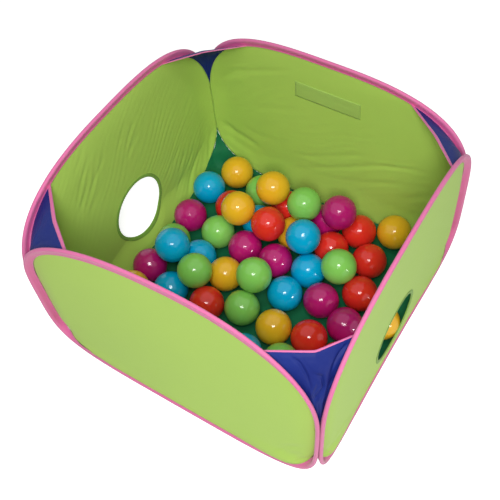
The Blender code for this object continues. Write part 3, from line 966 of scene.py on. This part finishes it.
# soft dents in each gusset: share across, share up, reach of each, depth in mm (outward is +)
gussetDents = (
    ((0.28, 0.62, 0.10, 0.20, 1.6), (0.52, 0.38, 0.12, 0.16, -2.2), (0.70, 0.66, 0.08, 0.22, 1.4),
     (0.42, 0.80, 0.20, 0.06, -0.9), (0.86, 0.50, 0.06, 0.30, -1.2)),
    ((0.35, 0.55, 0.12, 0.22, 1.0), (0.66, 0.45, 0.12, 0.22, -1.0)),
    ((0.35, 0.60, 0.12, 0.22, -1.0), (0.64, 0.50, 0.12, 0.22, 0.9)),
    ((0.40, 0.60, 0.14, 0.24, 0.8), (0.66, 0.40, 0.12, 0.22, -0.9)),
)
# creases, in millimetres over a gusset laid out
gussetFolds = (
    [(3.5, -3.0, (31, 146), (40, 132), (43, 117), (42, 100)),
     (4, -3.8, (50, 122), (71, 113), (77, 100), (58, 90), (34, 80)),
     (4.5, -3.2, (110, 148), (98, 130), (88, 112)),
     (4.5, -2.8, (108, 106), (92, 90), (80, 72)),
     (5, 2.4, (60, 112), (44, 100), (28, 86)),
     (3, 0.8, (12, 138), (40, 141), (66, 143), (96, 142))],
    [(5, -1.0, (20, 140), (45, 120), (60, 90)),
     (5, 1.0, (95, 140), (80, 110), (70, 80))],
    [(5, -0.8, (20, 140), (45, 115), (55, 85))],
    [(5, 0.8, (25, 140), (48, 118), (60, 88)),
     (6, -0.8, (92, 140), (78, 105), (68, 70))],
)
gussetTops = [[wireShareAt(across, True) for across in reach] for reach in casing["gussetReach"]]


def gussetPoint(corner, u, v):
    first, second = gussetTops[corner]
    tip = casing["gussetTips"][corner]
    start = onCase(corner, tip + (first - tip) * v, gussetLook["seam"], 0.0)
    end = onCase((corner + 1) % 4, -tip - (second - tip) * v, gussetLook["seam"], 0.0)
    lowest, highest = footSpot(corner, tip).z, footSpot(corner, first).z
    rise = (start.z - lowest) / (highest - lowest)
    foldShare = gussetLook["foldShares"][corner]
    side = (u - foldShare) / (1 - foldShare if u > foldShare else foldShare)
    soft = gussetLook["foldSoft"]
    crease = math.sqrt(side ** 2 + soft) - math.sqrt(soft)
    crease = 1 - crease / (math.sqrt(1 + soft) - math.sqrt(soft))
    puff = 0.0
    for x, y, wide, tall, depth in gussetDents[corner]:
        puff += depth / 1000 * math.exp(-((u - x) / wide) ** 2 - ((v - y) / tall) ** 2)
    wide, high = gussetLook["width"] * 1000, gussetLook["height"] * 1000
    puff += foldsAt(gussetFolds[corner], u * wide, v * high) / 1000
    puff += gussetLook["pucker"] * noiseAt(u * 5, v * 7, corner * 4.0)
    fold = gussetLook["folds"][corner] * crease * rise
    return start.lerp(end, u) + diagonals[corner] * (fold + puff * insideOf(u, v, 8, 9))


def gusset(corner):
    def place(u, v):
        return gussetPoint(corner, u, v)

    def flat(u, v):
        return (u - 0.5) * 0.18 * max(v, 0.05), v * 0.13

    return gridSheet(gussetLook["columns"], gussetLook["rows"], place, flat)


def gussetHem(corner):
    # tape folded over the gusset's top edge: down inside, over, down outside
    section = ((1.0, -0.55), (0.72, -0.62), (0.4, -0.60), (0.12, -0.62), (0.0, -0.4), (-0.08, 0.0),
               (0.0, 0.4), (0.12, 0.62), (0.4, 0.60), (0.72, 0.62), (1.0, 0.55))
    last = len(section) - 1

    def place(u, v):
        down, through = section[round(v * last)]
        top = gussetPoint(corner, u, 1.0)
        below = gussetPoint(corner, u, 0.955)
        slide = (below - top).normalized()
        wave = 1 + 0.08 * noiseAt(u * 30, v * 2, corner * 9.0)
        down *= gussetLook["hems"][corner] * wave
        return top + slide * down + diagonals[corner] * (through / 1000)

    def flat(u, v):
        # away from the wide tape's flat measures, so the hem gets none of the painted shade laid
        # along the wide tape's groove
        return u * 0.13, 0.2 + v * 0.011

    bm = gridSheet(gussetLook["columns"], last, place, flat)
    facing(bm, gussetPoint(corner, 0.5, 1.0), Vector((0, 0, 1)))
    return bm


for corner, name in enumerate(cornerNames):
    title = "gusset" + "".join(word.capitalize() for word in name.split("_"))
    cloth = makePiece(title, gusset(corner), cloths["navyCloth"])
    top = (gussetPoint(corner, 1.0, 1.0) - gussetPoint(corner, 0.0, 1.0)).length
    tall = (gussetPoint(corner, 0.5, 1.0) - gussetPoint(corner, 0.5, 0.0)).length
    thicken(cloth, gussetLook["thickness"])
    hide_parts("gusset_" + name)
    hem = thicken(makePiece(title + "Hem", gussetHem(corner), cloths["pinkTape"]),
                  gussetLook["hemTape"], -1.0)
print("gussets made")


# Floor cloth: flat on the ground, held a little above it round its edge, an ear up each corner

floorLook = {
    "thickness": 0.0005, "ground": 0.0004, "columns": 64, "rows": 64,
    "slope": 0.024,              # how far from its seam the cloth comes down to the ground
    "seamTop": 0.0120,           # above the seams along the floor; the ears climb from here
    "earRise": 0.016, "ripple": 0.0003, "earFold": 0.0035, "crowding": 0.6,
}


def footLine(side):
    # the seam along a panel's foot: across and out, in order
    line = []
    for i in range(-40, 41):
        across, _, out = caseSpot(side, tipLow * i / 40, casing["foot"], 0.0)
        line.append((across, out))
    return line


footLines = [footLine(side) for side in range(4)]


def seamGap(spot):
    # how far inside the nearest panel's seam a spot lies, seen from above
    gaps = []
    for side, line in enumerate(footLines):
        across, out = spot.dot(along[side]), spot.dot(outward[side]) - panelPlane
        index = min(max(bisect.bisect(line, (across, -1.0)), 1), len(line) - 1)
        (a, outA), (b, outB) = line[index - 1], line[index]
        part = min(max((across - a) / (b - a), 0.0), 1.0)
        gaps.append(outA + (outB - outA) * part - out)
    return min(gaps)


def floorPlace(spot, corner=None):
    near = max(0.0, 1 - max(seamGap(spot), 0.0) / floorLook["slope"]) ** 2
    lifted = smooth(spot.z, floorLook["seamTop"], floorLook["seamTop"] + floorLook["earRise"])
    ground = floorLook["ground"]
    z = ground + (spot.z - ground) * max(near, lifted)
    ripple = noiseAt(spot.x * 38, spot.y * 38, 5.0) * floorLook["ripple"]
    place = Vector((spot.x, spot.y, z + max(ripple, -0.0001) * (1 - near)))
    if corner is not None:
        # the ears hang in soft upright folds
        diagonal = diagonals[corner]
        acrossEar = spot.x * diagonal.y - spot.y * diagonal.x
        fold = noiseAt(acrossEar * 75, spot.z * 14, corner * 3.0)
        fold += 0.5 * noiseAt(acrossEar * 160, spot.z * 30, corner * 5.0)
        place += diagonal * (floorLook["earFold"] * fold * lifted * (1 - near))
    return settle(place)


def crowd(share):
    # more columns near the seams, where the cloth bends most
    return share - floorLook["crowding"] * math.sin(math.tau * share) / math.tau


def squareFoot(side, share):
    return squareSpot(side, *caseSpot(side, share, casing["foot"], 0.0))


def floorEar(corner):
    def place(u, v):
        start = squareFoot(corner, tipLow * v)
        end = squareFoot((corner + 1) % 4, -tipLow * v)
        return floorPlace(start.lerp(end, crowd(u)), corner)

    def flat(u, v):
        return (u - 0.5) * (1 - v) * 0.32, v * 0.26

    return gridSheet(floorLook["columns"], floorLook["rows"], place, flat)


def floorMiddle():
    # the diamond between the four panels' bottom middles
    corners = [squareFoot(side, 0.0) for side in range(4)]

    def place(u, v):
        u, v = crowd(u), crowd(v)
        return floorPlace(corners[0].lerp(corners[1], u).lerp(corners[3].lerp(corners[2], u), v))

    def flat(u, v):
        return (u - 0.5) * 0.32, (v - 0.5) * 0.32

    return gridSheet(floorLook["columns"], floorLook["columns"], place, flat)


def floorSheet():
    bm = floorMiddle()
    for corner in range(4):
        ear = bpy.data.meshes.new("ear")
        part = floorEar(corner)
        part.to_mesh(ear)
        part.free()
        bm.from_mesh(ear)
        bpy.data.meshes.remove(ear)
    bmesh.ops.remove_doubles(bm, verts=bm.verts, dist=0.0009)
    bmesh.ops.recalc_face_normals(bm, faces=bm.faces)
    facing(bm, Vector((0, 0, 0)), Vector((0, 0, 1)))
    return bm


floorCloth = makePiece("floorSheet", floorSheet(), cloths["floorCloth"])
thicken(floorCloth, floorLook["thickness"])
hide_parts("floor_sheet")
print("floor made")


# Balls

ballLook = {"radius": 0.0275, "around": 48, "rings": 32, "seam": 0.00007, "seamHalf": 0.00045,
            "vent": 0.00025}
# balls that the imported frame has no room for: colour, across, deep and up in mm
looseBalls = (
    ("yellow", -162.3, -113.7, 42), ("blue", 43, -117, 28.6), ("green", 98, -104, 28.6),
    ("red", 169, -62, 28.6), ("yellow", 195, 27, 28.6), ("magenta", -118, -144, 28.6),
    ("green", -60, -165, 28.6), ("red", 0, -168, 28.6), ("blue", 110, -163, 28.6),
    ("yellow", 176, -150, 28.6),
)


def blankBall():
    bm = bmesh.new()
    radius = ballLook["radius"]
    bmesh.ops.create_uvsphere(bm, u_segments=ballLook["around"], v_segments=ballLook["rings"],
                              radius=radius)
    for height in (ballLook["seamHalf"], -ballLook["seamHalf"]):
        bmesh.ops.bisect_plane(bm, geom=bm.verts[:] + bm.edges[:] + bm.faces[:], dist=1e-7,
                               plane_co=(0, 0, height), plane_no=(0, 0, 1))
    for vert in bm.verts:
        if abs(vert.co.z) < 1e-6:                      # raised line where the mould's halves met
            vert.co *= 1 + ballLook["seam"] / radius
        elif vert.co.z > radius - 1e-6:                # sealed blow hole
            vert.co.z -= ballLook["vent"]
    return bm


def addBall(name, colour, centre, body, turns):
    bm = blank.copy()
    spin = Euler([turns.uniform(0, math.tau) for _ in range(3)]).to_matrix()
    bmesh.ops.rotate(bm, verts=bm.verts, cent=(0, 0, 0), matrix=spin)
    bmesh.ops.translate(bm, verts=bm.verts, vec=centre)
    return makePiece(name, bm, plastics[colour], body)


blank = blankBall()
ballTurns = random.Random(11)
for node in sorted(frame["nodes"]):
    if "_ball_" in node:
        colour, _, number = node.split("_")
        low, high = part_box(node)
        ball = addBall(f"{colour}Ball{number}", colour, (low + high) / 2, bodyOfNode[node],
                       ballTurns)
        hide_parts(node)
for index, (colour, across, deep, up) in enumerate(looseBalls):
    centre = Vector((across / 1000 + pit["middle"][0], deep / 1000 + pit["middle"][1], up / 1000))
    addBall(f"{colour}BallLoose{index + 1}", colour, centre, "root", ballTurns)
blank.free()
print("balls made")


# Camera, floor, light

view = {
    "azimuth": 37.54, "elevation": 54.53, "distance": 1.1404, "roll": -7.06, "lens": 55.87,
    "target": (-0.00948, -0.00435, 0.1138),
}


def seenFrom(azimuth, elevation):
    # the direction from the pit to a camera or lamp, in degrees round from the front and up
    turn, rise = math.radians(azimuth), math.radians(elevation)
    return Vector((math.sin(turn) * math.cos(rise), -math.cos(turn) * math.cos(rise),
                   math.sin(rise)))


def placeCamera():
    back = seenFrom(view["azimuth"], view["elevation"])
    right = (-back).cross(Vector((0, 0, 1))).normalized()
    up = right.cross(-back)
    roll = math.radians(view["roll"])
    turnedRight = right * math.cos(roll) + up * math.sin(roll)
    turnedUp = up * math.cos(roll) - right * math.sin(roll)
    camera = addObject("camera", bpy.data.cameras.new("camera"))
    camera.data.lens = view["lens"]
    camera.data.sensor_width = 36.0
    camera.data.clip_start, camera.data.clip_end = 0.05, 50.0
    camera.matrix_world = Matrix((turnedRight, turnedUp, back)).transposed().to_4x4()
    camera.location = Vector(view["target"]) + back * view["distance"]
    bpy.context.scene.camera = camera


def seenStraight(nodes):
    # the light path, and 1 where the camera looks straight or through something clear
    path = nodes.add("LightPath").outputs
    return path, nodes.math("MAXIMUM", path["Is Camera Ray"], path["Is Transmission Ray"])


def makeWorld():
    world = bpy.data.worlds.new("studio")
    bpy.context.scene.world = world
    world.use_nodes = True
    nodes = NodeTree(world.node_tree)
    path, seen = seenStraight(nodes)
    lit = nodes.fill(nodes.tree.nodes["Background"],
                     {"Color": (1, 1, 1, 1), "Strength": light["world"]})
    white = nodes.add("Background", {"Color": (1, 1, 1, 1), "Strength": 1.0})
    seen = nodes.math("MAXIMUM", seen, path["Is Glossy Ray"])
    mixer = nodes.add("MixShader", {0: seen, 1: lit.outputs[0], 2: white.outputs[0]})
    nodes.fill(nodes.tree.nodes["World Output"], {"Surface": mixer.outputs[0]})


def makeFloor():
    bm = bmesh.new()
    bmesh.ops.create_circle(bm, cap_ends=True, segments=96, radius=6.0)
    bmesh.ops.translate(bm, verts=bm.verts, vec=(0, 0, -0.0002))
    mesh = bpy.data.meshes.new("studioFloor")
    bm.to_mesh(mesh)
    bm.free()
    ground = addObject("studioFloor", mesh)
    material, nodes, shader = newMaterial("studioFloor")
    nodes.fill(shader, {"Base Color": (0.8, 0.8, 0.8, 1.0), "Roughness": 0.9})
    _, seen = seenStraight(nodes)
    lift = nodes.add("Emission", {"Color": (1, 1, 1, 1), "Strength": light["floorLift"]})
    both = nodes.add("AddShader", {0: shader.outputs[0], 1: lift.outputs[0]})
    mixer = nodes.add("MixShader", {0: seen, 1: shader.outputs[0], 2: both.outputs[0]})
    nodes.fill(nodes.tree.nodes["Material Output"], {"Surface": mixer.outputs[0]})
    mesh.materials.append(material)


light = {
    "world": 0.22,
    "floorLift": 0.70,           # the floor seen pale by the camera alone
    "target": (0, 0, 0.08),
    # area lamps: azimuth, elevation, distance, width, height, watts, whether gloss shows it
    "lamps": {
        "keyLeft": (24, 61, 1.5, 0.25, 0.30, 4.4, True),
        "keyRight": (43, 61, 1.5, 0.22, 0.22, 3.6, True),
        "mainBox": (34, 47, 1.6, 0.36, 0.36, 10.8, False),
        "topBox": (10, 80, 1.3, 0.12, 0.12, 2.7, False),
        "lowBox": (82, 12, 1.6, 0.12, 0.12, 3.2, True),
    },
}


def placeLamps():
    for name, (azimuth, elevation, distance, width, height, watts, gloss) in light["lamps"].items():
        back = seenFrom(azimuth, elevation)
        lamp = addObject(name, bpy.data.lights.new(name, "AREA"))
        lamp.data.shape = "RECTANGLE"
        lamp.data.size, lamp.data.size_y = width, height
        lamp.data.energy = watts
        lamp.location = Vector(light["target"]) + back * distance
        lamp.visible_glossy = gloss
        lamp.rotation_mode = "QUATERNION"
        lamp.rotation_quaternion = back.to_track_quat("Z", "Y")


placeCamera()
makeWorld()
makeFloor()
placeLamps()
bpy.context.scene.view_settings.view_transform = "Standard"
print("camera and light set")
